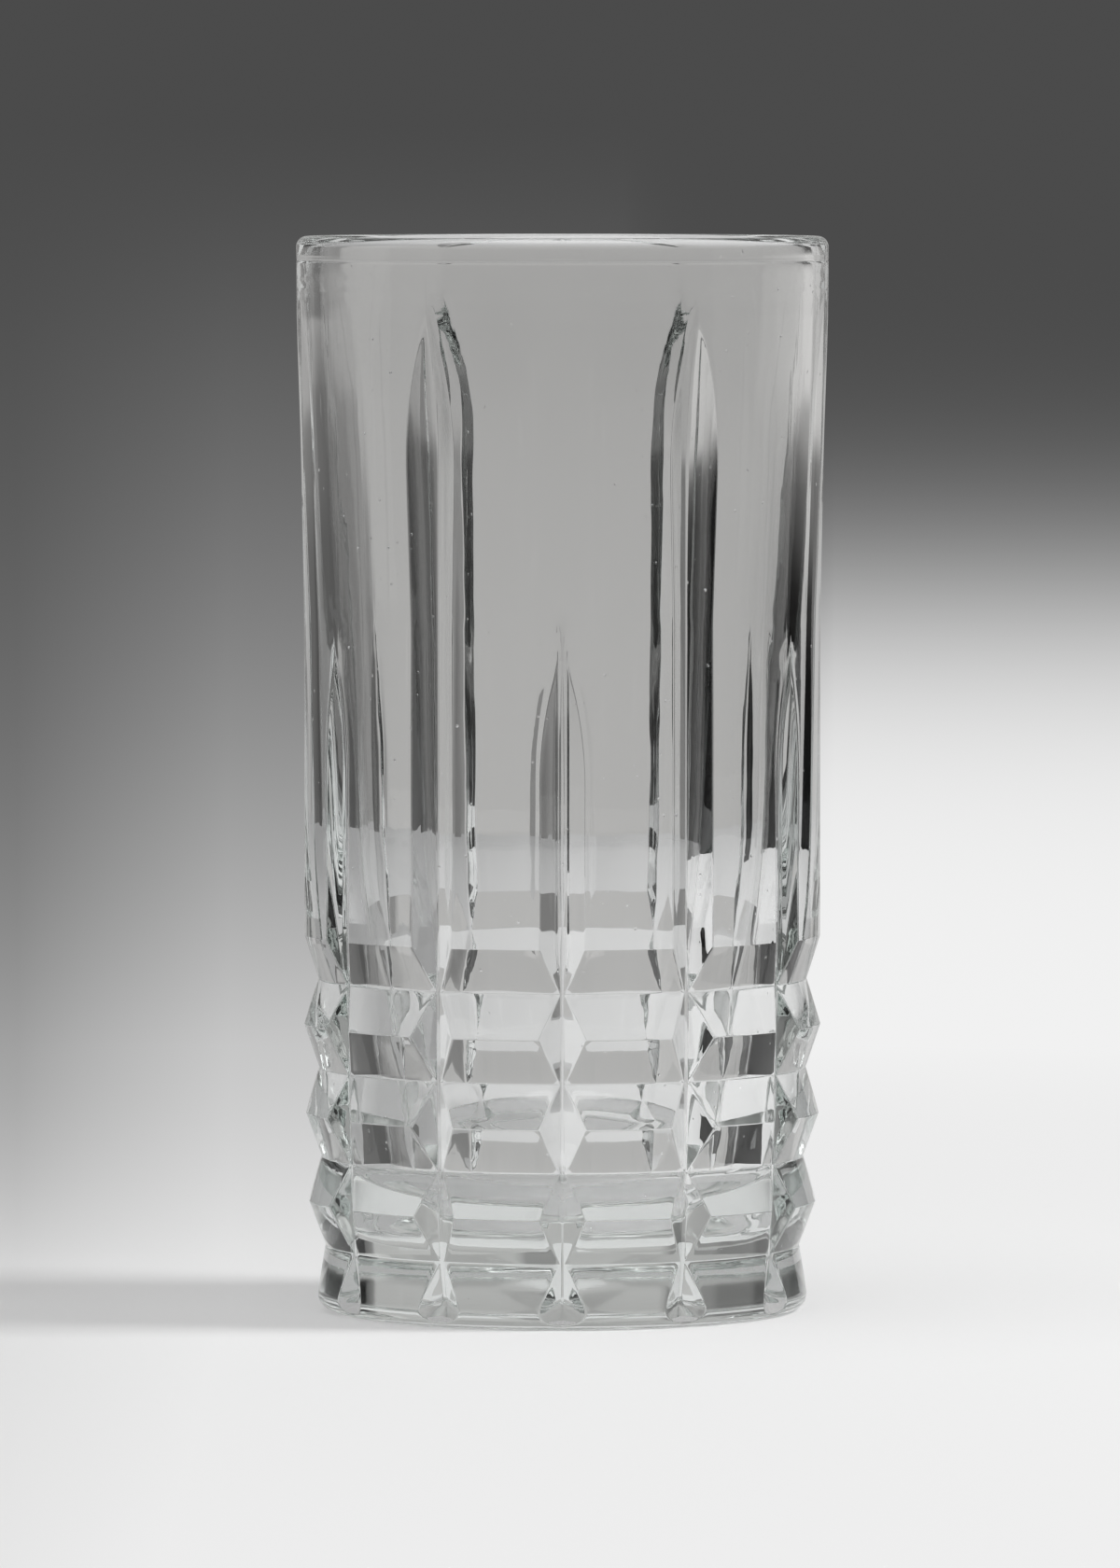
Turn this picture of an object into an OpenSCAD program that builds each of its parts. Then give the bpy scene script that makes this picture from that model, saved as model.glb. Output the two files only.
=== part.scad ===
// Highball tumbler of clear pressed glass, one piece.
// A plain lip over a wall with tall and short lancet flutes, a band of hip-roofed
// diamond blocks, and a thick flared base with a teardrop groove under each flute.
// Millimetres, +Z up, the origin on the table under the middle of the foot.

/* [Overall] */
// Height from the table to the top of the lip
height = 151.5; // [146:0.5:165]
// Outer diameter at the mouth
mouth_d = 75; // [68:0.5:84]
// How far the wall below the waist lies inside the mouth's radius
wall_inset = 1; // [0.2:0.1:1.8]
// How far above the foot of its panels the wall starts to open towards the mouth
waist_rise = 45; // [38:1:54]
// Length of the plain upright collar below the lip's rounding
collar_h = 7; // [4:0.5:9]

/* [Lip and bore] */
// Thickness of the fully rounded lip
lip_t = 3; // [2.4:0.1:3.6]
// Thickness of the wall at the waist, between the flutes
waist_t = 4.9; // [4.4:0.1:6.5]
// Thickness of the wall where the bore would meet the floor, between the flutes
floor_wall_t = 8; // [7:0.1:11]
// Height above the table at which the inner floor would meet the bore if it were flat
floor_z = 15; // [11:0.5:20]
// How far the inner floor is dished below that height in its middle
floor_dish = 1.5; // [0.5:0.1:2.5]
// Radius of the rounded corner between the floor and the bore
floor_corner_r = 9; // [5:0.5:12]

/* [Flutes] */
// Number of flutes around the wall, tall and short in turn
flutes = 12; // [8:2:16]
// Opening angle of the V cross-section, in degrees
flute_angle = 106; // [96:1:112]
// Width of the narrow strip at the bottom of the V
flute_root_w = 1.2; // [0.8:0.1:1.8]
// Radius of the V-edged wheel that runs each flute out into a pointed tip
wheel_r = 85; // [60:1:120]
// How far below the top of the lip the tall flutes end
tall_tip_drop = 10.5; // [9:0.5:24]
// How far above the foot of the wall's panels the short flutes end
short_flute_h = 41; // [34:0.5:46]

/* [Diamond band] */
// Number of rows of blocks
rows = 3; // [2:1:3]
// Height of one row, from notch to notch
row_h = 12.55; // [10:0.05:13]
// How far the band's top stands proud of the wall
band_proud = 0.1; // [0:0.1:0.6]
// Depth of the notches below the ridges
notch_depth = 2.1; // [1.6:0.1:2.4]
// How far the band's radius draws in from its top notch to its bottom notch
band_draw_in = 1; // [0:0.1:1.5]
// Height of the bevel from the top notch up to the foot of the wall's panels
bevel_h = 6.2; // [4:0.1:8]

/* [Base] */
// Height of the base below the lowest notch
base_h = 9.2; // [7:0.1:12]
// How far the base at its widest, just above the heel, stands out beyond the lowest notch
base_flare = 1.2; // [0.6:0.1:2.2]
// Radius of the rounded heel
heel_r = 2.4; // [1.5:0.1:3]
// Height of the middle of the round lower end of the base grooves
base_groove_end_z = 3.6; // [3.4:0.1:4.4]
// How far the base grooves lean in on the way down to that end
base_groove_lean = 0.9; // [0.4:0.1:1.2]
// Width of the flat ring that the glass stands on
foot_w = 5; // [3:0.5:8]
// Height of the shallow hollow under the base
underside_h = 0.3; // [0.2:0.1:2.5]

/* [Hidden] */

// How far cutters reach past the glass
overrun = 2;
// How far the flute roots lie below the notches, so that each crossing is cut clean
root_sink = 0.05;
// The wheel's sweep as a share of its run-out, so that it carries on past the tip
sweep_share = 1.5;

mouth_r = mouth_d / 2;
lip_r = lip_t / 2;
wall_r = mouth_r - wall_inset;
band_r = wall_r + band_proud;
base_r = band_r - notch_depth - band_draw_in + base_flare;
foot_r = base_r - heel_r;
band_h = rows * row_h;
top_notch_z = base_h + band_h;
panel_foot_z = top_notch_z + bevel_h;
waist_z = panel_foot_z + waist_rise;
collar_z = height - lip_r - collar_h;
tall_tip_z = height - tall_tip_drop;
short_tip_z = panel_foot_z + short_flute_h;
flute_pitch = 360 / flutes;
flute_slope = tan(flute_angle / 2);
blank_facets = 180;
arc_facets = 96;
wheel_facets = 720;

// The band's radius shrinks with the square of the distance below its top notch.
function draw_in(z) = band_draw_in * pow((top_notch_z - z) / band_h, 2);
function notch_z(i) = top_notch_z - i * row_h;
function notch_r(i) = band_r - notch_depth - draw_in(notch_z(i));
function ridge_z(i) = notch_z(i) - row_h / 2;
function ridge_r(i) = band_r - draw_in(ridge_z(i));
// A flute's root passes through the notches a little below their bottoms.
function root_r(i) = notch_r(i) - root_sink;

// Outside of the glass up to the middle of the lip, as a half section
module outside_profile() {
    base_profile = [[0, 0], [foot_r, 0], [base_r, heel_r]];
    band_profile = [for (i = [rows:-1:1]) each [[notch_r(i), notch_z(i)],
                                               [ridge_r(i - 1), ridge_z(i - 1)]]];
    wall_profile = [[notch_r(0), top_notch_z], [wall_r, panel_foot_z], [wall_r, waist_z],
                    [mouth_r, collar_z], [mouth_r, height - lip_r], [0, height - lip_r]];
    polygon(concat(base_profile, band_profile, wall_profile));
    translate([foot_r, heel_r]) circle(r = heel_r, $fn = arc_facets);
}

// Bore with its dished floor and rounded corner, as a half section open at the top
module bore_profile() {
    bore_floor_r = wall_r - floor_wall_t;
    bore_waist_r = wall_r - waist_t;
    bore_mouth_r = mouth_r - lip_t;
    bore_lean = atan((bore_waist_r - bore_floor_r) / (waist_z - floor_z));
    corner_z = floor_z + floor_corner_r;
    corner_x = bore_floor_r + floor_corner_r * tan(bore_lean) - floor_corner_r / cos(bore_lean);
    tangent_x = corner_x + floor_corner_r * cos(bore_lean);
    tangent_z = corner_z - floor_corner_r * sin(bore_lean);
    // The dish is a sphere that the corner's arc touches from inside.
    dish_r = (pow(corner_x, 2) + 2 * floor_corner_r * floor_dish + pow(floor_dish, 2))
        / (2 * floor_dish);
    dish_z = floor_z - floor_dish + dish_r;
    touch_x = corner_x * dish_r / (dish_r - floor_corner_r);
    polygon([[0, floor_z], [corner_x, floor_z], [tangent_x, tangent_z],
             [bore_waist_r, waist_z], [bore_mouth_r, height - lip_r],
             [bore_mouth_r, height + overrun], [0, height + overrun]]);
    translate([corner_x, corner_z]) circle(r = floor_corner_r, $fn = arc_facets);
    intersection() {
        translate([0, dish_z]) circle(r = dish_r, $fn = wheel_facets);
        square([touch_x, corner_z]);
    }
}

// Shallow spherical hollow that leaves a flat ring to stand on
module underside() {
    hollow_r = foot_r - foot_w;
    sphere_r = (pow(hollow_r, 2) + pow(underside_h, 2)) / (2 * underside_h);
    translate([0, 0, underside_h - sphere_r]) sphere(r = sphere_r, $fn = wheel_facets);
}

// The turned form, before the flutes are cut
module blank() {
    difference() {
        rotate_extrude($fn = blank_facets) {
            difference() {
                outside_profile();
                bore_profile();
            }
            translate([mouth_r - lip_r, height - lip_r]) circle(r = lip_r, $fn = arc_facets);
        }
        underside();
    }
}

// Cross-section of a flute: its root strip on the Y axis, its V opening towards +X
module flute_section(reach) {
    root_half = flute_root_w / 2;
    edge_half = root_half + reach * flute_slope;
    polygon([[0, -root_half], [reach, -edge_half], [reach, edge_half], [0, root_half]]);
}

// Straight groove whose root runs from the lower to the upper point, each [radius, height].
// Its lower end is left open past the point, or is round, as a pointed cutter leaves it.
module groove_run(lower, upper, reach, round_end = false) {
    rise = upper - lower;
    below = round_end ? 0 : overrun;
    root_half = flute_root_w / 2;
    translate([lower.x, 0, lower.y]) rotate([0, atan2(rise.x, rise.y), 0]) {
        translate([0, 0, -below])
            linear_extrude(norm(rise) + below + overrun) flute_section(reach);
        if (round_end)
            rotate([0, 90, 0])
                cylinder(h = reach, r1 = root_half, r2 = root_half + reach * flute_slope,
                         $fn = arc_facets);
    }
}

// Upright part of a flute above the top notch, and the wheel's run-out to its pointed tip
module lancet(tip_z, tip_r) {
    reach = mouth_r - root_r(0) + overrun;
    run_out = acos(1 - (tip_r - root_r(0)) / wheel_r);
    wheel_z = tip_z - wheel_r * sin(run_out);
    translate([root_r(0), 0, top_notch_z]) linear_extrude(wheel_z - top_notch_z) flute_section(reach);
    translate([root_r(0) + wheel_r, 0, wheel_z]) rotate([90, 0, 180])
        rotate_extrude(angle = sweep_share * run_out, $fn = wheel_facets)
            translate([wheel_r, 0]) mirror([1, 0]) flute_section(reach);
}

// Groove of one column through the rows of the band, and its teardrop in the base
module column_groove() {
    reach = band_r - root_r(rows) + overrun;
    for (i = [0:rows - 1])
        groove_run([root_r(i + 1), notch_z(i + 1)], [root_r(i), notch_z(i)], reach);
    groove_run([root_r(rows) - base_groove_lean, base_groove_end_z], [root_r(rows), base_h],
               reach, round_end = true);
}

// Radius of the wall's outside at a height above the panels' foot
function wall_r_at(z) = z <= waist_z ? wall_r
    : wall_r + (mouth_r - wall_r) * min(1, (z - waist_z) / (collar_z - waist_z));

module tumbler() {
    color([0.86, 0.91, 0.91])
    difference() {
        blank();
        for (i = [0:flutes - 1]) {
            tip_z = i % 2 == 0 ? short_tip_z : tall_tip_z;
            rotate([0, 0, i * flute_pitch - 90]) {
                lancet(tip_z, wall_r_at(tip_z));
                column_groove();
            }
        }
    }
}

tumbler();
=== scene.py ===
"""Looks of the highball tumbler: one piece of clear pressed glass on a pale table in soft light.

The glass is a single closed surface of two parameters. One runs along its half section, from
the middle of the underside out over the foot, up the outside, over the lip and down the bore
to the middle of the floor. The other runs round the axis, and bends with the edges of the
flutes so that every edge of the cut pattern has its own line of vertices.
"""

import math

import bpy
import numpy as np
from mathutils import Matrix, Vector


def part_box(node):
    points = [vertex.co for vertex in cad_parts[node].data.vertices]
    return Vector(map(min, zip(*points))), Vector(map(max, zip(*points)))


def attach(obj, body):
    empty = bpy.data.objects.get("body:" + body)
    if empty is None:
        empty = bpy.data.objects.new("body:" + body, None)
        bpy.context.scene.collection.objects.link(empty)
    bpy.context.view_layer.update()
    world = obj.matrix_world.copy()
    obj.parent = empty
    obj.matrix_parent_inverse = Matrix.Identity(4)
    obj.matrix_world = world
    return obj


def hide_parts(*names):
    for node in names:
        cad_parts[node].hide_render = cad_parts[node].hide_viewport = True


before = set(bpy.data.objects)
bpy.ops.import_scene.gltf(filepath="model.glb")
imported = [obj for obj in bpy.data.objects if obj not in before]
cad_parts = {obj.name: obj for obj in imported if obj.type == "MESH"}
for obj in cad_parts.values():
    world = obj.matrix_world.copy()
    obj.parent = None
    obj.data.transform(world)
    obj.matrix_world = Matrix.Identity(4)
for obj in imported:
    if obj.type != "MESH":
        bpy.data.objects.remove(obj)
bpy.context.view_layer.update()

MM = 0.001

# Sizes of the glass, in millimetres, as the solid part has them

glass_low, glass_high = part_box("tumbler")
HEIGHT = (glass_high.z - glass_low.z) / MM
MOUTH_R = (glass_high.x - glass_low.x) / MM / 2
LIP_R = 1.5
WALL_INSET = 1.0
BAND_PROUD = 0.1
NOTCH_DEPTH = 2.1
BAND_DRAW_IN = 1.0
ROWS = 3
ROW_H = 12.55
BASE_H = 9.2
BASE_FLARE = 1.2
HEEL_R = 2.4
BEVEL_H = 6.2
WAIST_RISE = 45.0
COLLAR_H = 7.0
FLOOR_Z = 15.0
FLOOR_DISH = 1.5
FLOOR_CORNER_R = 9.0
WAIST_T = 4.9
FOOT_W = 5.0
UNDERSIDE_H = 0.3
FLUTES = 12
ROOT_SINK = 0.05
WHEEL_R = 85.0
TALL_TIP_DROP = 10.5
SHORT_FLUTE_H = 41.0
GROOVE_END_Z = 3.6
GROOVE_LEAN = 0.9

# The bore below its bend, which draws in more than the solid part's does

BEND_Z = 63.0
BEND_T = 6.2
BEND_R = 108.0
FLOOR_WALL_T = 13.5

# The flutes' cross-section, which is as wide at the wall as the solid part's, with a narrower
# strip at the bottom. A short flute has a wider one above the band, with steep sides, and a
# tall flute a sharper one.

FLUTE_ANGLE = 113
ROOT_HALF = 0.25
CHANNEL_HALF = 0.6
CHANNEL_RISE = 1.3
SHARP_ROOT = 0.15
SHARP_FADE = 20.0

# Softness that the mould and the fire polishing leave on the pressed edges

NOTCH_FILLET = 0.3
RIDGE_FILLET = 0.35
FOOT_FILLET = 12.0
BEND_FILLET = 200.0
EDGE_BLEND = 0.16
TIP_BLEND = 0.4
ROOT_BLEND = 0.1
PANEL_FLAT = 0.2
PANEL_FADE = 14.0

# Traces of the mould, all SEAM_H high or deep: three hairline seams up the wall, which fade in
# between the heights of SEAM_FOOT, a collar that steps in, and a hairline groove round it,
# SEAM_DROP below the top of the lip

SEAM_FLUTES = (3, 7, 11)
SEAM_H = 0.05
SEAM_HALF_W = 0.13
SEAM_DROP = 3.4
SEAM_FOOT = (4.0, 8.0)
COLLAR_STEP_H = 3.0

# Swells of the two surfaces: their heights, and for each the waves round the glass, the wave
# lengths up it and the seed of their shifts. They are calm at the lip, foot and inner floor.

WAVE_OUTSIDE = 0.025
WAVE_BORE = 0.06
SWELL_OUTSIDE = ((5, 9, 14, 21, 33), (90, 47, 61, 29, 18), 4)
SWELL_BORE = ((4, 7, 11, 17, 26, 41), (83, 37, 52, 24, 15, 9), 9)
CALM_LIP = (HEIGHT - 6, HEIGHT - 14)
CALM_FOOT = (3.0, 9.0)
CALM_FLOOR_R = (20.0, 24.0)

WALL_R = MOUTH_R - WALL_INSET
BAND_R = WALL_R + BAND_PROUD
TOP_NOTCH_Z = BASE_H + ROWS * ROW_H
PANEL_FOOT_Z = TOP_NOTCH_Z + BEVEL_H
WAIST_Z = PANEL_FOOT_Z + WAIST_RISE
LIP_FOOT_Z = HEIGHT - LIP_R
COLLAR_Z = LIP_FOOT_Z - COLLAR_H
RING_Z = HEIGHT - SEAM_DROP
FLUTE_SLOPE = math.tan(math.radians(FLUTE_ANGLE / 2))
PITCH = 2 * math.pi / FLUTES

# Steps of the arcs in the half section, points on the floor's dish and the underside's dome,
# and the longest straight step of the bore and the underside. The dish starts DISH_START
# corner radii from where the floor would meet the bore's wall.

HEEL_STEPS = 11
EDGE_STEPS = 4
WALL_BEND_STEPS = 3
LIP_STEPS = 9
WAIST_STEPS = 4
BORE_BEND_STEPS = 8
FLOOR_CORNER_STEPS = 14
DISH_ROWS = 9
DISH_START = 1.1
LONGEST_STEP = 4.0

# Rows of vertices up the outside: from, to and number in the base and on the bevel, shares of
# each facet's height in the band, steps up the wall, finest at the flutes' tips, and distances
# from the hairline groove. One that would lie within CLOSEST_ROWS of a row that is there
# already is left out.

BASE_ROWS = (3.0, BASE_H - 0.5, 8)
BEVEL_ROWS = (TOP_NOTCH_Z + 0.7, PANEL_FOOT_Z - 0.7, 4)
FACET_ROWS = (0.14, 0.38, 0.62, 0.86)
FIRST_WALL_ROW = 0.6
WALL_STEP = 4.0
RUN_OUT_STEP = 1.5
TIP_STEP = 0.5
TIP_ZONE = 4.0
TIP_MARGIN = 1.0
COLLAR_STEP = 2.0
RING_ROWS = (-0.4, -0.2, -0.1, 0.0, 0.1, 0.2, 0.4)
CLOSEST_ROWS = 0.09

# Lines of vertices across half a flute and half a panel: distances from the channel's edge,
# shares of the facet, distances from the facet's edge, and shares of the panel. They spread out
# between the heights of EVEN_LINES, and the underside and the bore skip some of them.

CHANNEL_LINES = (-0.09, 0.0, 0.1, 0.24, 0.36, 0.5)
FACET_LINES = (0.25, 0.5, 0.75)
EDGE_LINES = (-0.2, -0.1, 0.0, 0.1, 0.2)
PANEL_LINES = (0.1, 0.28, 0.5, 0.75, 1.0)
SMALLEST_OPENING = 0.1
EVEN_LINES = (HEIGHT - 8, HEIGHT - 4)
UNDER_SKIP = 4
BORE_SKIP = 2

# Repeats that settle a groove's surface and its edge, from first guesses

GROOVE_PASSES = 9
EDGE_PASSES = 20
FIRST_DEPTH = 1.0
FIRST_Y = 2.0


def climb(value, start, end):
    """From 0 at the start to 1 at the end in a straight line, and level beyond both."""
    return np.clip((value - start) / (end - start), 0, 1)


def soft_min(a, b, blend):
    """The smaller of two values, with a parabola of the given width where they cross."""
    mix = np.clip(0.5 + 0.5 * (b - a) / blend, 0, 1)
    return b * (1 - mix) + a * mix - blend * mix * (1 - mix)


def soft_step(value, middle, blur):
    """From 0 to 1 round the middle, as the hyperbolic tangent goes."""
    return 0.5 + 0.5 * np.tanh((value - middle) / blur)


def draw_in(z):
    """How far the band has drawn in at a height: the square of the distance below its top."""
    return BAND_DRAW_IN * ((TOP_NOTCH_Z - z) / (TOP_NOTCH_Z - BASE_H)) ** 2


def notch(i):
    """Radius and height of a notch, counted from the top."""
    z = TOP_NOTCH_Z - i * ROW_H
    return BAND_R - NOTCH_DEPTH - draw_in(z), z


def ridge(i):
    """Radius and height of the ridge under a notch."""
    z = TOP_NOTCH_Z - (i + 0.5) * ROW_H
    return BAND_R - draw_in(z), z


def filleted(corners):
    """Straight runs joined by arcs.

    A corner is (radius from the axis, height, fillet, steps). Its arc touches both runs at
    fillet / tan(half the angle between them) from the corner.
    """
    path = [corners[0][:2]]
    for before, corner, after in zip(corners, corners[1:], corners[2:]):
        here = np.array(corner[:2])
        fillet, steps = corner[2:]
        back = np.array(before[:2]) - here
        ahead = np.array(after[:2]) - here
        back /= np.linalg.norm(back)
        ahead /= np.linalg.norm(ahead)
        half = math.acos(np.clip(back @ ahead, -1, 1)) / 2
        middle = (back + ahead) / np.linalg.norm(back + ahead)
        centre = here + middle * fillet / math.sin(half)
        start = here + back * fillet / math.tan(half) - centre
        turn = math.pi - 2 * half
        if back[0] * ahead[1] - back[1] * ahead[0] > 0:
            turn = -turn
        angles = np.linspace(0, turn, steps + 1)
        arc = np.stack([start[0] * np.cos(angles) - start[1] * np.sin(angles),
                        start[0] * np.sin(angles) + start[1] * np.cos(angles)], 1)
        path.extend(map(tuple, arc + centre))
    path.append(corners[-1][:2])
    return np.array(path)


def split_runs(path, longest):
    """The same path with its straight runs divided into steps no longer than the limit."""
    pieces = []
    for a, b in zip(path, path[1:]):
        count = max(1, math.ceil(np.linalg.norm(b - a) / longest))
        pieces.append(a + (b - a) * np.arange(count)[:, None] / count)
    return np.concatenate(pieces + [path[-1:]])


def outside_path():
    """Half section of the outside, from the inner edge of the heel up to the lip's middle."""
    base_r = notch(ROWS)[0] + BASE_FLARE
    lean = BASE_FLARE / (BASE_H - HEEL_R)
    corners = [(base_r - HEEL_R * 2, 0.0),
               (base_r + lean * HEEL_R, 0.0, HEEL_R, HEEL_STEPS)]
    for i in range(ROWS, 0, -1):
        corners.append((*notch(i), NOTCH_FILLET, EDGE_STEPS))
        corners.append((*ridge(i - 1), RIDGE_FILLET, EDGE_STEPS))
    corners += [(*notch(0), NOTCH_FILLET, EDGE_STEPS),
                (WALL_R, PANEL_FOOT_Z, RIDGE_FILLET, EDGE_STEPS),
                (WALL_R, WAIST_Z, BEND_FILLET, WALL_BEND_STEPS),
                (MOUTH_R, COLLAR_Z, BEND_FILLET, WALL_BEND_STEPS),
                (MOUTH_R, LIP_FOOT_Z)]
    return filleted(corners)[1:]


def under_path(rim_r):
    """Half section of the underside, from its middle out to the foot's edge.

    The hollow is the cap of a sphere. With r and h as the hollow's own radius and height, the
    sphere's radius is (r ** 2 + h ** 2) / (2 * h).
    """
    hollow_r = rim_r - FOOT_W
    dome_r = (hollow_r ** 2 + UNDERSIDE_H ** 2) / (2 * UNDERSIDE_H)
    dome = [(s, UNDERSIDE_H - dome_r + math.sqrt(dome_r ** 2 - s ** 2), 0.0, 0)
            for s in np.linspace(0, hollow_r, DISH_ROWS)[1:-1]]
    path = filleted([(0.0, UNDERSIDE_H)] + dome
                    + [(hollow_r, 0.0, FOOT_FILLET, EDGE_STEPS), (rim_r, 0.0)])
    return split_runs(path[1:], LONGEST_STEP)[:-1]


def inside_path():
    """Half section of the inside, from the outer foot of the lip's rounding to the floor.

    The floor is dished by a parabola that starts beside the rounded corner.
    """
    floor_r = WALL_R - FLOOR_WALL_T
    dish = [(s, FLOOR_Z - FLOOR_DISH * (1 - (s / floor_r) ** 2), 0.0, 0)
            for s in np.linspace(floor_r - DISH_START * FLOOR_CORNER_R, 0, DISH_ROWS)[:-1]]
    path = filleted([(MOUTH_R, HEIGHT - 2 * LIP_R),
                     (MOUTH_R, HEIGHT, LIP_R, LIP_STEPS),
                     (MOUTH_R - 2 * LIP_R, HEIGHT, LIP_R, LIP_STEPS),
                     (WALL_R - WAIST_T, WAIST_Z, BEND_FILLET, WAIST_STEPS),
                     (WALL_R - BEND_T, BEND_Z, BEND_R, BORE_BEND_STEPS),
                     (floor_r, FLOOR_Z, FLOOR_CORNER_R, FLOOR_CORNER_STEPS)]
                    + dish + [(0.0, FLOOR_Z - FLOOR_DISH)])
    return split_runs(path[2:], LONGEST_STEP)[:-1]


def tip_z(tall):
    """Height of a flute's pointed tip."""
    return HEIGHT - TALL_TIP_DROP if tall else PANEL_FOOT_Z + SHORT_FLUTE_H


def wall_r(z):
    """Radius of the wall, which widens in a straight line from the waist to the collar."""
    return WALL_R + WALL_INSET * climb(z, WAIST_Z, COLLAR_Z)


def root_r(z):
    """Radius of the bottom of the grooves: straight between notches, leaning in at the base."""
    places = [notch(i) for i in range(ROWS, -1, -1)]
    heights = [0.0] + [p[1] for p in places]
    lean = GROOVE_LEAN / (BASE_H - GROOVE_END_Z)
    radii = [places[0][0] - lean * BASE_H] + [p[0] for p in places]
    return np.interp(z, heights, radii) - ROOT_SINK


def wheel_z(tall):
    """Height of the middle of the wheel whose rim leaves the wall at the tip.

    It lies below the tip by radius * sin(a), where cos(a) is 1 - depth / radius.
    """
    depth = wall_r(tip_z(tall)) - root_r(TOP_NOTCH_Z)
    return tip_z(tall) - WHEEL_R * math.sin(math.acos(1 - depth / WHEEL_R))


def channel_half(z, tall):
    """Half width of the channel at a flute's bottom: a short flute's is wider over the band."""
    wider = 0.0 if tall else CHANNEL_HALF - ROOT_HALF
    return ROOT_HALF + wider * climb(z, TOP_NOTCH_Z, PANEL_FOOT_Z)


def root_sink(z, tall):
    """How far the V of a tall flute goes on below the channel's bottom, over the band."""
    if not tall:
        return 0.0
    deep = climb(z, TOP_NOTCH_Z, PANEL_FOOT_Z) * climb(z, tip_z(tall), tip_z(tall) - SHARP_FADE)
    return SHARP_ROOT * deep


def groove_surface(angle, z, tall):
    """Radius of a groove's surface at an angle from its middle plane.

    A point at the distance y from the middle plane lies (y - half root) / slope outside the
    root, or less where the steep side of a short flute's channel is lower. It lies no deeper
    than the root, or than root_sink below it. Above the wheel's middle the root follows the
    wheel's rim, and below the teardrop's middle y becomes the distance to that middle.
    """
    root = root_r(z)
    below = np.maximum(GROOVE_END_Z - z, 0)
    above = np.maximum(z - wheel_z(tall), 0)
    r = root + FIRST_DEPTH
    for _ in range(GROOVE_PASSES):
        y = np.hypot(r * np.sin(angle), below)
        side = (y - ROOT_HALF) / FLUTE_SLOPE
        if not tall:
            side = soft_min(side, (y - channel_half(z, tall)) * CHANNEL_RISE, ROOT_BLEND)
        depth = -soft_min(-side, root_sink(z, tall), ROOT_BLEND)
        rim = np.sqrt(np.maximum((WHEEL_R - depth) ** 2 - above ** 2, 0))
        r = (root + WHEEL_R - rim) / np.cos(angle)
    return r


def edge_y(r, z, tall):
    """Distance from a groove's middle plane to where it meets the turned surface.

    It is half root + slope * reach, or half channel + reach / rise where that is wider. The
    reach is how far inside the wheel's rim the turned surface lies, and each pass works it out
    again from the last distance. Below the teardrop's middle this width is the distance to
    that middle.
    """
    below = np.maximum(GROOVE_END_Z - z, 0)
    above = np.maximum(z - wheel_z(tall), 0)
    y = np.full_like(z, FIRST_Y)
    for _ in range(EDGE_PASSES):
        x = np.sqrt(r ** 2 - y ** 2)
        reach = np.maximum(WHEEL_R - np.hypot(root_r(z) + WHEEL_R - x, above), 0)
        wide = np.maximum(ROOT_HALF + FLUTE_SLOPE * reach,
                          channel_half(z, tall) + reach / CHANNEL_RISE)
        y = np.sqrt(np.maximum(wide ** 2 - below ** 2, 0))
    return y


def half_sector(r, z, tall):
    """Angles of the vertex lines from a flute's middle plane to the middle of the panel.

    They follow, in turn, the channel, its steep side, the facet, the facet's edge and the
    panel. Where a groove closes up they are drawn together in proportion, and towards the lip
    they spread out evenly.
    """
    channel = channel_half(z, tall)
    opening = np.maximum(edge_y(r, z, tall) - channel, SMALLEST_OPENING)
    squeeze = np.minimum(opening, 1)
    side = channel + CHANNEL_LINES[-1] * squeeze
    facet = opening - (CHANNEL_LINES[-1] - EDGE_LINES[0]) * squeeze
    edge = channel + opening
    lines = [np.full_like(z, y) for y in (0.0, SEAM_HALF_W)]
    lines += [channel + step * squeeze for step in CHANNEL_LINES]
    lines += [side + facet * share for share in FACET_LINES]
    lines += [edge + step * squeeze for step in EDGE_LINES]
    angles = np.arcsin(np.stack(lines, 1) / r[:, None])
    last = angles[:, -1:]
    angles = np.concatenate([angles, last + (PITCH / 2 - last) * np.array(PANEL_LINES)], 1)
    even = np.linspace(0, PITCH / 2, angles.shape[1])
    return angles + (even - angles) * climb(z, *EVEN_LINES)[:, None]


def rows_of_outside():
    """Radius and height of each row of vertices up the outside."""
    path = outside_path()
    wanted = [np.linspace(*BASE_ROWS)]
    for k in range(2 * ROWS):
        foot = BASE_H + k * ROW_H / 2
        wanted.append(foot + ROW_H / 2 * np.array(FACET_ROWS))
    wanted.append(np.linspace(*BEVEL_ROWS))
    foot = PANEL_FOOT_Z + FIRST_WALL_ROW
    for tall in (False, True):
        low, tip = wheel_z(tall) - TIP_MARGIN, tip_z(tall)
        wanted.append(np.arange(foot, low, WALL_STEP))
        wanted.append(np.arange(low, tip - TIP_ZONE, RUN_OUT_STEP))
        wanted.append(np.arange(tip - TIP_ZONE, tip + TIP_MARGIN, TIP_STEP))
        foot = tip + TIP_MARGIN
    wanted.append(np.arange(foot, LIP_FOOT_Z, COLLAR_STEP))
    wanted.append(RING_Z + np.array(RING_ROWS))
    heights = list(path[:, 1])
    for z in np.concatenate(wanted):
        if min(abs(z - h) for h in heights) > CLOSEST_ROWS:
            heights.append(float(z))
    z = np.array(sorted(heights))
    return np.interp(z, path[:, 1], path[:, 0]), z


def sweep_round(sector_angles):
    """Angles of all vertex lines of each row, from the two kinds of half sector.

    Each sector is a half sector and its mirror image, turned on by PITCH from the one before.
    The first one faces -Y.
    """
    parts = []
    for i in range(FLUTES):
        half = sector_angles[i % 2]
        whole = np.concatenate([-half[:, :0:-1], half[:, :-1]], 1)
        parts.append(whole + i * PITCH - math.pi / 2)
    return np.concatenate(parts, 1)


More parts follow.
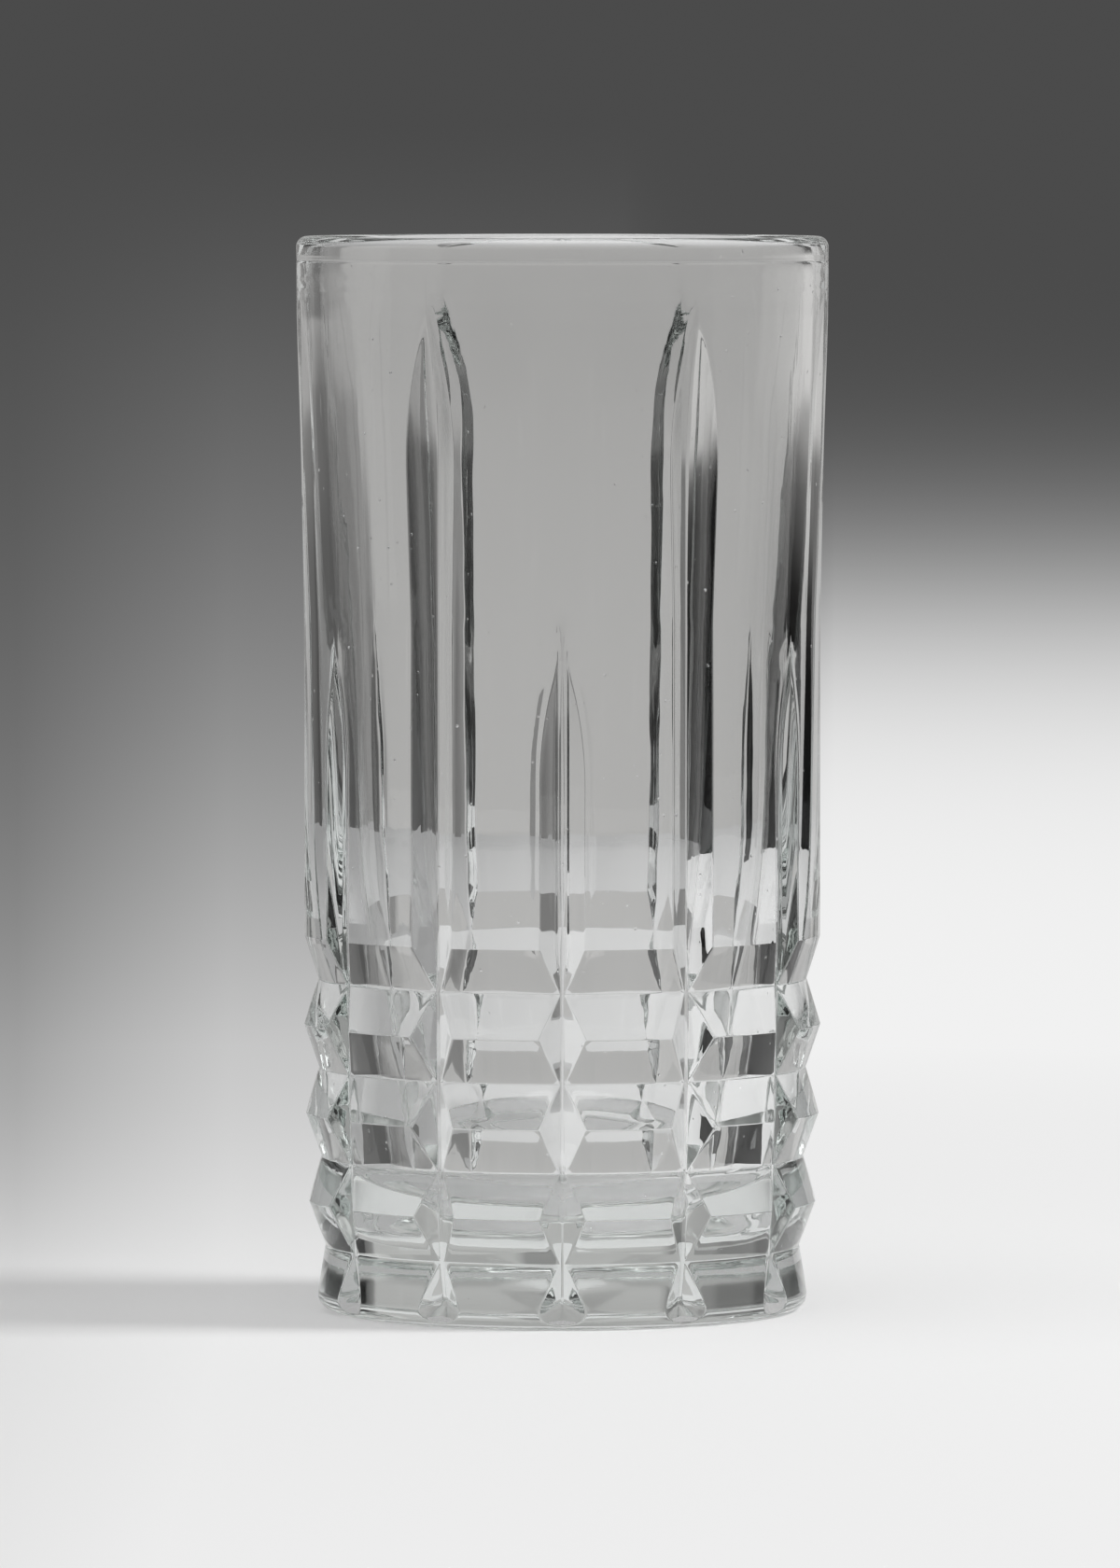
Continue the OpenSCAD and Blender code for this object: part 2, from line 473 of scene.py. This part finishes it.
def waves(angle, z, counts, lengths, seed):
    """A gentle swell of the surface, from 0 to 1: a mean of sines round and up the glass."""
    total = np.zeros(np.broadcast(angle, z).shape)
    rng = np.random.default_rng(seed)
    for count, length in zip(counts, lengths):
        shift = rng.uniform(0, 2 * math.pi, 2)
        total += np.sin(count * angle + shift[0]) * np.sin(2 * math.pi * z / length + shift[1])
    return 0.5 + 0.5 * total / len(counts)


def panel_flatness(local, z):
    """How far the wall's panels lie inside the round wall: most along their middles.

    With s as the share of the way from a panel's edge to its middle, it is PANEL_FLAT times
    1 - (1 - s) ** 2. It fades out down the bevel and up towards the collar.
    """
    edge = math.asin((ROOT_HALF + FLUTE_SLOPE * (WALL_R - root_r(TOP_NOTCH_Z))) / WALL_R)
    middle = 1 - (1 - climb(np.abs(local), edge, PITCH / 2)) ** 2
    up = climb(z, TOP_NOTCH_Z, PANEL_FOOT_Z) * climb(z, COLLAR_Z, COLLAR_Z - PANEL_FADE)
    return PANEL_FLAT * middle * up


def outside_surface(angle, r, z):
    """Radius of the outside: the turned wall, cut by the flutes, with seams and a swell.

    It is the smaller of the wall's and the groove's, blended more widely where a flute is less
    than 1 mm deep. A hairline's height is SEAM_H * exp(-(distance / SEAM_HALF_W) ** 2).
    """
    lines = angle.shape[1] // FLUTES
    surface = np.empty_like(angle)
    for i in range(FLUTES):
        part = slice(i * lines, (i + 1) * lines)
        local = angle[:, part] - i * PITCH + math.pi / 2
        tall = i % 2 == 1
        above = np.maximum(z - wheel_z(tall), 0)
        depth = r - root_r(z) - WHEEL_R + np.sqrt(np.maximum(WHEEL_R ** 2 - above ** 2, 0))
        shallow = climb(depth, 1, 0) * (z > PANEL_FOOT_Z)
        blend = EDGE_BLEND + TIP_BLEND * shallow
        turned = r[:, None] - panel_flatness(local, z[:, None])
        groove = groove_surface(local, z[:, None], tall)
        surface[:, part] = soft_min(groove, turned, blend[:, None])
    calm = climb(z, *CALM_LIP) * climb(z, *CALM_FOOT)
    swell = waves(angle, z[:, None], *SWELL_OUTSIDE)
    surface -= WAVE_OUTSIDE * calm[:, None] * swell
    below_lip = climb(z, LIP_FOOT_Z, LIP_FOOT_Z - LIP_R)
    collar = climb(z, COLLAR_Z - COLLAR_STEP_H, COLLAR_Z) * below_lip
    ring = np.exp(-((z - RING_Z) / SEAM_HALF_W) ** 2)
    surface -= (SEAM_H * (collar + ring))[:, None]
    up = climb(z, *SEAM_FOOT) * below_lip
    for i in SEAM_FLUTES:
        across = (angle - i * PITCH + math.pi / 2) * r[:, None]
        surface += SEAM_H * np.exp(-(across / SEAM_HALF_W) ** 2) * up[:, None]
    return np.minimum(surface, MOUTH_R)


def turn_rows(path, angles):
    """Points of a turned surface: each point of the half section at each angle."""
    r, z = path[:, :1], path[:, 1:]
    return np.stack([r * np.cos(angles), r * np.sin(angles),
                     np.broadcast_to(z, (len(path), len(angles)))], 2)


def inside_points(angles):
    """Points of the lip's top and the bore, whose wall swells inwards by up to WAVE_BORE."""
    path = inside_path()
    points = turn_rows(path, angles)
    r, z = path[:, :1], path[:, 1:]
    calm = climb(z, *CALM_LIP) * climb(r, *CALM_FLOOR_R)
    swell = waves(angles[None], z, *SWELL_BORE)
    points[:, :, :2] *= (1 - WAVE_BORE * calm * swell / np.maximum(r, 1))[:, :, None]
    return points


def grid_faces(rows, lines, first):
    """Quads of a grid that closes round, as a flat array of corners."""
    index = first + np.arange(rows * lines).reshape(rows, lines)
    beside = np.roll(index, -1, axis=1)
    return np.stack([index[:-1], beside[:-1], beside[1:], index[1:]], 2).reshape(-1, 4), index


def join_rings(coarse, fine, up):
    """Fans of triangles between a ring of few vertices and one with several times as many."""
    after = np.roll(coarse, -1)
    ring = np.append(fine, fine[0])
    skip = len(fine) // len(coarse)
    span = np.arange(len(coarse)) * skip
    triangles = []
    for k in range(skip):
        near = coarse if k < skip // 2 else after
        fan = [near, ring[span + k + 1], ring[span + k]]
        triangles.append(np.stack(fan if up else fan[:1] + fan[:0:-1], 1))
    bridge = [coarse, after, ring[span + skip // 2]]
    triangles.append(np.stack(bridge if up else bridge[::-1], 1))
    return triangles


def close_ring(ring, pole, up):
    """A fan of triangles from a ring to the vertex in its middle."""
    beside = np.roll(ring, -1)
    middle = np.full(len(ring), pole)
    return [np.stack([middle, ring, beside] if up else [middle, beside, ring], 1)]


def glass_mesh(name):
    """The closed mesh of the glass.

    The outside has many lines round. The underside has every fourth of them and the bore every
    second, so the rows where they meet it are joined by fans of triangles.
    """
    r, z = rows_of_outside()
    angle = sweep_round([half_sector(r, z, tall) for tall in (False, True)])
    surface = outside_surface(angle, r, z)
    outside = np.stack([surface * np.cos(angle), surface * np.sin(angle),
                        np.broadcast_to(z[:, None], angle.shape)], 2)
    under = turn_rows(under_path(r[0]), angle[0, ::UNDER_SKIP])
    inside = inside_points(angle[-1, ::BORE_SKIP])
    blocks = [under, outside, inside]
    poles = [(0, 0, UNDERSIDE_H), (0, 0, FLOOR_Z - FLOOR_DISH)]
    points = np.concatenate([block.reshape(-1, 3) for block in blocks] + [poles]) * MM
    quads, indices, first = [], [], 0
    for block in blocks:
        faces, index = grid_faces(block.shape[0], block.shape[1], first)
        quads.append(faces)
        indices.append(index)
        first += index.size
    low, mid, high = indices
    triangles = (join_rings(low[-1], mid[0], True) + join_rings(high[0], mid[-1], False)
                 + close_ring(low[0], first, False) + close_ring(high[-1], first + 1, True))
    return mesh_of_faces(name, points, np.concatenate(quads), np.concatenate(triangles))


def mesh_of_faces(name, points, quads, triangles):
    """A smooth mesh from points in metres and the corners of its quads and triangles."""
    corners = np.concatenate([quads.ravel(), triangles.ravel()])
    sizes = np.concatenate([np.full(len(quads), 4), np.full(len(triangles), 3)])
    mesh = bpy.data.meshes.new(name)
    mesh.vertices.add(len(points))
    mesh.vertices.foreach_set("co", points.ravel().astype(np.float32))
    mesh.loops.add(len(corners))
    mesh.loops.foreach_set("vertex_index", corners.astype(np.int32))
    mesh.polygons.add(len(sizes))
    mesh.polygons.foreach_set("loop_start", (np.cumsum(sizes) - sizes).astype(np.int32))
    mesh.update(calc_edges=True)
    mesh.validate()
    mesh.shade_smooth()
    return mesh


def add_object(name, mesh, material):
    """Links a mesh into the scene with one material."""
    piece = bpy.data.objects.new(name, mesh)
    bpy.context.scene.collection.objects.link(piece)
    mesh.materials.append(material)
    return piece


def new_material(name):
    """A material with nodes, and its node tree."""
    material = bpy.data.materials.new(name)
    material.use_nodes = True
    return material, material.node_tree


def number(tree, operation, *values):
    """Output of a sum on numbers and other outputs."""
    step = tree.nodes.new("ShaderNodeMath")
    step.operation = operation
    for socket, value in zip(step.inputs, values):
        if isinstance(value, float):
            socket.default_value = value
        else:
            tree.links.new(value, socket)
    return step.outputs[0]


def ramp(tree, value, start, end, low, high):
    """Output that goes from low at the start to high at the end, and stays level beyond both."""
    step = tree.nodes.new("ShaderNodeMapRange")
    for socket, limit in zip(step.inputs[1:5], (start, end, low, high)):
        socket.default_value = limit
    tree.links.new(value, step.inputs[0])
    return step.outputs[0]


# The glass's colour in depth, the ripple and the pits in its surface, the heights between which
# the ripple fades out towards the fire-polished lip, and those between which the scuffs of the
# foot ring do. Heights and depths are in metres, and PIT_R is a share of the pits' spacing.

ABSORB_COLOUR = (0.79, 0.86, 0.835, 1)
ABSORB_DENSITY = 6
GLASS_IOR = 1.5
RIPPLE_SCALE = 420
RIPPLE_STRETCH = 0.12
RIPPLE_DETAIL = 2
RIPPLE_H = 0.00001
PIT_SCALE = 260
PIT_R = 0.06
PIT_H = 0.00006
SMOOTH_LIP = ((HEIGHT - 7) * MM, (HEIGHT - 4) * MM)
SCUFF_AT = (0.0001, 0.0004)
SCUFF_ROUGHNESS = 0.12


def bump(tree, height, depth):
    """A bump node of the given depth in metres."""
    node = tree.nodes.new("ShaderNodeBump")
    node.inputs["Distance"].default_value = depth
    tree.links.new(height, node.inputs["Height"])
    return node


def clear_glass():
    """Colourless soda-lime glass with a faint grey-green cast where it is thick.

    A fine ripple, drawn out along the glass, and a few pits disturb its surface, and the
    ring that it stands on is scuffed.
    """
    material, tree = new_material("clear_glass")
    nodes, links = tree.nodes, tree.links
    shader = nodes["Principled BSDF"]
    shader.inputs["Base Color"].default_value = (1, 1, 1, 1)
    shader.inputs["Metallic"].default_value = 0
    shader.inputs["IOR"].default_value = GLASS_IOR
    shader.inputs["Transmission Weight"].default_value = 1
    absorb = nodes.new("ShaderNodeVolumeAbsorption")
    absorb.inputs["Color"].default_value = ABSORB_COLOUR
    absorb.inputs["Density"].default_value = ABSORB_DENSITY
    links.new(absorb.outputs[0], nodes["Material Output"].inputs["Volume"])

    place = nodes.new("ShaderNodeTexCoord")
    split = nodes.new("ShaderNodeSeparateXYZ")
    links.new(place.outputs["Object"], split.inputs[0])
    stretch = nodes.new("ShaderNodeMapping")
    stretch.inputs["Scale"].default_value = (1, 1, RIPPLE_STRETCH)
    links.new(place.outputs["Object"], stretch.inputs["Vector"])
    ripple = nodes.new("ShaderNodeTexNoise")
    ripple.inputs["Scale"].default_value = RIPPLE_SCALE
    ripple.inputs["Detail"].default_value = RIPPLE_DETAIL
    links.new(stretch.outputs[0], ripple.inputs["Vector"])
    pits = nodes.new("ShaderNodeTexVoronoi")
    pits.inputs["Scale"].default_value = PIT_SCALE
    links.new(place.outputs["Object"], pits.inputs["Vector"])

    calm = ramp(tree, split.outputs["Z"], *SMOOTH_LIP, 1, 0)
    ripple_bump = bump(tree, number(tree, "MULTIPLY", ripple.outputs[0], calm), RIPPLE_H)
    pit_bump = bump(tree, ramp(tree, pits.outputs["Distance"], 0, PIT_R, 0, 1), PIT_H)
    links.new(ripple_bump.outputs[0], pit_bump.inputs["Normal"])
    links.new(pit_bump.outputs[0], shader.inputs["Normal"])
    scuff = ramp(tree, split.outputs["Z"], *SCUFF_AT, SCUFF_ROUGHNESS, 0)
    links.new(scuff, shader.inputs["Roughness"])
    return material


# The table. Its tone is painted light and shade: it goes from white to the backdrop's dark as
# the light falls off. The pairs are the sides, or the distances in metres, between which a
# value changes, and what the value changes from and to.
# RIGHT_REACH is added to LEFT_REACH. The glass shows a table with values of its own.

BACKDROP_DARK = 0.07
FLOOR_HALF = 400.0
FAN = 1.75
FAR_LEFT = (-0.044, -0.027)
TABLE_WHITE = (0.80, 0.88)
LEFT_REACH = (0.35, 0.72)
RIGHT = (0.005, 0.022)
RIGHT_REACH = (0.0, 1.68)
FALL = (1.25, 4.3)
GLASS_SIDE = (-0.12, 0.03)
GLASS_WHITE = (0.5, 0.9)
GLASS_REACH = 0.66
GLASS_FALL = 1.25
GLOW_AT = (0.03, 0.5)
GLOW = (0.34, 1.0)


def floor_material():
    """A pale table with painted light that falls off into the soft grey of the backdrop behind
    the glass.

    Its tone is dark + (white - dark) / (1 + (depth / reach) ** fall), a painted falloff of
    light.
    The painted light fans out from the front, so white, reach and fall depend on the side,
    x / (depth + FAN): on the left the table darkens soon, as painted shade, and on the right it
    stays white for long. In the table that the glass shows, the distance all round takes the
    place of depth, and only white depends on the side, with painted shade on the left. Near the
    glass most of the tone is lit, so that the glass has a shadow, and far away the table glows
    evenly. Diffuse rays see none of the glow, so the table doesn't light itself.
    """
    material, tree = new_material("studio_floor")
    nodes, links = tree.nodes, tree.links
    nodes.clear()
    place = nodes.new("ShaderNodeTexCoord")
    split = nodes.new("ShaderNodeSeparateXYZ")
    links.new(place.outputs["Object"], split.inputs[0])
    far = nodes.new("ShaderNodeVectorMath")
    far.operation = "LENGTH"
    links.new(place.outputs["Object"], far.inputs[0])
    distance = far.outputs["Value"]
    rays = nodes.new("ShaderNodeLightPath")

    def either(plain, in_glass):
        """The first value for what the camera sees directly, and the second for the rest."""
        change = number(tree, "SUBTRACT", plain, in_glass)
        seen = number(tree, "MULTIPLY", change, rays.outputs["Is Camera Ray"])
        return number(tree, "ADD", seen, in_glass)

    # Painted light and shade: the tone is white at the front and right, and darkens with depth
    # and to the left
    depth = number(tree, "MAXIMUM", split.outputs["Y"], 0.0)
    side = number(tree, "DIVIDE", split.outputs["X"], number(tree, "ADD", depth, FAN))
    white = either(ramp(tree, side, *FAR_LEFT, *TABLE_WHITE),
                   ramp(tree, side, *GLASS_SIDE, *GLASS_WHITE))
    reach = number(tree, "ADD", ramp(tree, side, *FAR_LEFT, *LEFT_REACH),
                   ramp(tree, side, *RIGHT, *RIGHT_REACH))
    away = number(tree, "DIVIDE", either(depth, distance), either(reach, GLASS_REACH))
    fade = number(tree, "POWER", away, either(ramp(tree, side, *RIGHT, *FALL), GLASS_FALL))
    over_dark = number(tree, "DIVIDE", number(tree, "SUBTRACT", white, BACKDROP_DARK),
                       number(tree, "ADD", fade, 1.0))
    tone = number(tree, "ADD", over_dark, BACKDROP_DARK)
    direct = number(tree, "SUBTRACT", 1.0, rays.outputs["Is Diffuse Ray"])
    share = number(tree, "MULTIPLY", ramp(tree, distance, *GLOW_AT, *GLOW), direct)

    matt = nodes.new("ShaderNodeBsdfDiffuse")
    glow = nodes.new("ShaderNodeEmission")
    mix = nodes.new("ShaderNodeMixShader")
    out = nodes.new("ShaderNodeOutputMaterial")
    links.new(tone, matt.inputs["Color"])
    links.new(tone, glow.inputs["Color"])
    links.new(share, mix.inputs[0])
    links.new(matt.outputs[0], mix.inputs[1])
    links.new(glow.outputs[0], mix.inputs[2])
    links.new(mix.outputs[0], out.inputs["Surface"])
    return material


# Glowing cards round the glass, whose tones are painted light and shade that the glass reflects
# and refracts. Each has the bearings in degrees that it spans, 0 behind the glass and 90 to its
# right, its distance in metres, and its tones low down and above CARD_H. Above ABOVE_H they all
# turn light, a painted bright zone. Tones change softly within CARD_GAP degrees of a card's
# side.
# BACKDROP is the place in the list of the card behind the glass, whose two tones blend over
# more height than those of the others.

CARDS = ((-180, -105, 0.33, 0.02, 0.10),
         (-105, -75, 0.45, 0.05, 0.12),
         (-75, -57, 0.48, 0.06, 0.20),
         (-57, -36, 0.50, 0.10, 0.34),
         (-36, -25, 0.52, 0.18, 0.40),
         (-25, -15, 0.55, 0.25, 0.40),
         (-15, 27, 0.55, 0.51, 0.36),
         (27, 35.5, 0.55, 0.48, 0.42),
         (35.5, 80, 0.33, 0.005, 0.60),
         (80, 115, 0.40, 0.015, 0.32),
         (115, 180, 0.33, 0.02, 0.10))
CARD_H = 0.0905
CARD_BLUR = 0.007
CARD_GAP = 1.0
BACKDROP = 6
BACKDROP_BLUR = 0.055
ABOVE_TONE = 0.6
ABOVE_H = 0.42
ABOVE_BLUR = 0.1
CARD_GLOW_COLOUR = (1.0, 0.99, 0.975, 1)
SURROUND_H = 0.9
SURROUND_LINES = 721
SURROUND_ROWS = 181


def tone_material(name):
    """Glows with the tone that its mesh carries at each point, which is painted light and shade.
    """
    material, tree = new_material(name)
    tree.nodes.clear()
    tone = tree.nodes.new("ShaderNodeAttribute")
    tone.attribute_name = "tone"
    glow = tree.nodes.new("ShaderNodeEmission")
    glow.inputs["Color"].default_value = CARD_GLOW_COLOUR
    out = tree.nodes.new("ShaderNodeOutputMaterial")
    tree.links.new(tone.outputs["Fac"], glow.inputs["Strength"])
    tree.links.new(glow.outputs[0], out.inputs["Surface"])
    return material


def card_tone(bearing, height):
    """Painted tone of light and shade at a bearing and height.

    It goes softly from a card's low tone to its high one at CARD_H, and on to ABOVE_TONE at
    ABOVE_H.
    """
    start, end, _, low, high = np.array(CARDS).T
    at = np.stack([start + CARD_GAP, end - CARD_GAP], 1).ravel()
    low = np.interp(bearing, at, np.repeat(low, 2))
    high = np.interp(bearing, at, np.repeat(high, 2))
    behind = (bearing > start[BACKDROP]) & (bearing < end[BACKDROP])
    blur = np.where(behind, BACKDROP_BLUR, CARD_BLUR)
    tone = low + (high - low) * soft_step(height, CARD_H, blur)
    return tone + (ABOVE_TONE - tone) * soft_step(height, ABOVE_H, ABOVE_BLUR)


def surround():
    """The upright glowing cards round the table, which only the glass sees, with a tone of
    painted light and shade at each point.

    A point lies at its card's distance from the axis: times the sine of its bearing to the
    right, and times the cosine behind.
    """
    bearing = np.linspace(-180, 180, SURROUND_LINES)
    height = np.linspace(0, SURROUND_H, SURROUND_ROWS)
    way = np.radians(bearing)
    away = np.array([card[2] for card in CARDS])
    away = away[np.searchsorted([card[1] for card in CARDS[:-1]], bearing)]
    ring = np.stack([away * np.sin(way), away * np.cos(way)], 1)
    points = np.empty((len(height), len(bearing), 3))
    points[:, :, :2] = ring[None]
    points[:, :, 2] = height[:, None]
    index = np.arange(points.shape[0] * points.shape[1]).reshape(points.shape[:2])
    quads = np.stack([index[:-1, :-1], index[:-1, 1:], index[1:, 1:], index[1:, :-1]], 2)
    mesh = bpy.data.meshes.new("painted_light_surround")
    mesh.from_pydata(points.reshape(-1, 3).tolist(), [], quads.reshape(-1, 4).tolist())
    tone = mesh.attributes.new("tone", "FLOAT", "POINT")
    # Painted light and shade: each point's glow, which the glass reflects and refracts
    tones = card_tone(np.broadcast_to(bearing, points.shape[:2]), height[:, None])
    tone.data.foreach_set("value", tones.ravel().astype(np.float32))
    piece = add_object("painted_light_surround", mesh, tone_material("painted_light_surround"))
    piece.visible_camera = False
    piece.visible_diffuse = False
    piece.visible_shadow = False
    return piece


# Lamps, each with its place and size in metres and its power in watts. They point at the axis
# of the glass, a third of the way up.

LAMPS = (("key_lamp", (0.9, -0.1, 0.9), 0.35, 12),
         ("top_lamp", (-0.2, -0.2, 1.6), 1.2, 10))
LAMP_TARGET = (0, 0, 0.05)


def softbox(name, place, size, power):
    """A square lamp that the camera doesn't see."""
    lamp = bpy.data.lights.new(name, "AREA")
    lamp.shape = "RECTANGLE"
    lamp.size = size
    lamp.size_y = size
    lamp.energy = power
    holder = bpy.data.objects.new(name, lamp)
    holder.location = place
    holder.rotation_mode = "QUATERNION"
    holder.rotation_quaternion = (Vector(LAMP_TARGET) - Vector(place)).to_track_quat("-Z", "Y")
    holder.visible_camera = False
    bpy.context.scene.collection.objects.link(holder)
    return holder


# The glass

glass = add_object("tumbler_glass", glass_mesh("tumbler_glass"), clear_glass())
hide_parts("tumbler")
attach(glass, "root")

# Floor, surround and lamps

floor_mesh = bpy.data.meshes.new("studio_floor")
floor_mesh.from_pydata([(-FLOOR_HALF, -FLOOR_HALF, 0), (FLOOR_HALF, -FLOOR_HALF, 0),
                        (FLOOR_HALF, FLOOR_HALF, 0), (-FLOOR_HALF, FLOOR_HALF, 0)],
                       [], [(0, 1, 2, 3)])
floor = add_object("studio_floor", floor_mesh, floor_material())

surround()
for lamp_values in LAMPS:
    softbox(*lamp_values)

# The world's tone, the plain view and enough bounces for light to cross the facets of the glass

scene = bpy.context.scene
world = bpy.data.worlds.new("studio_world")
world.use_nodes = True
world.node_tree.nodes["Background"].inputs["Color"].default_value = (
    BACKDROP_DARK, BACKDROP_DARK, BACKDROP_DARK, 1)
scene.world = world
scene.view_settings.view_transform = "Standard"
scene.cycles.max_bounces = 32
scene.cycles.transmission_bounces = 32
scene.cycles.glossy_bounces = 16

# Camera at the photograph's place, a little above the lip

CAMERA_BACK = 1.75
CAMERA_UP = 0.1675
AIM = (-0.00033, 0.0, 0.0742)
LENS = 285.0
SENSOR = 36

camera = bpy.data.objects.new("camera", bpy.data.cameras.new("camera"))
camera.data.sensor_width = SENSOR
camera.data.lens = LENS
camera.location = (0, -CAMERA_BACK, CAMERA_UP)
camera.rotation_mode = "QUATERNION"
camera.rotation_quaternion = (Vector(AIM) - camera.location).to_track_quat("-Z", "Y")
scene.collection.objects.link(camera)
scene.camera = camera
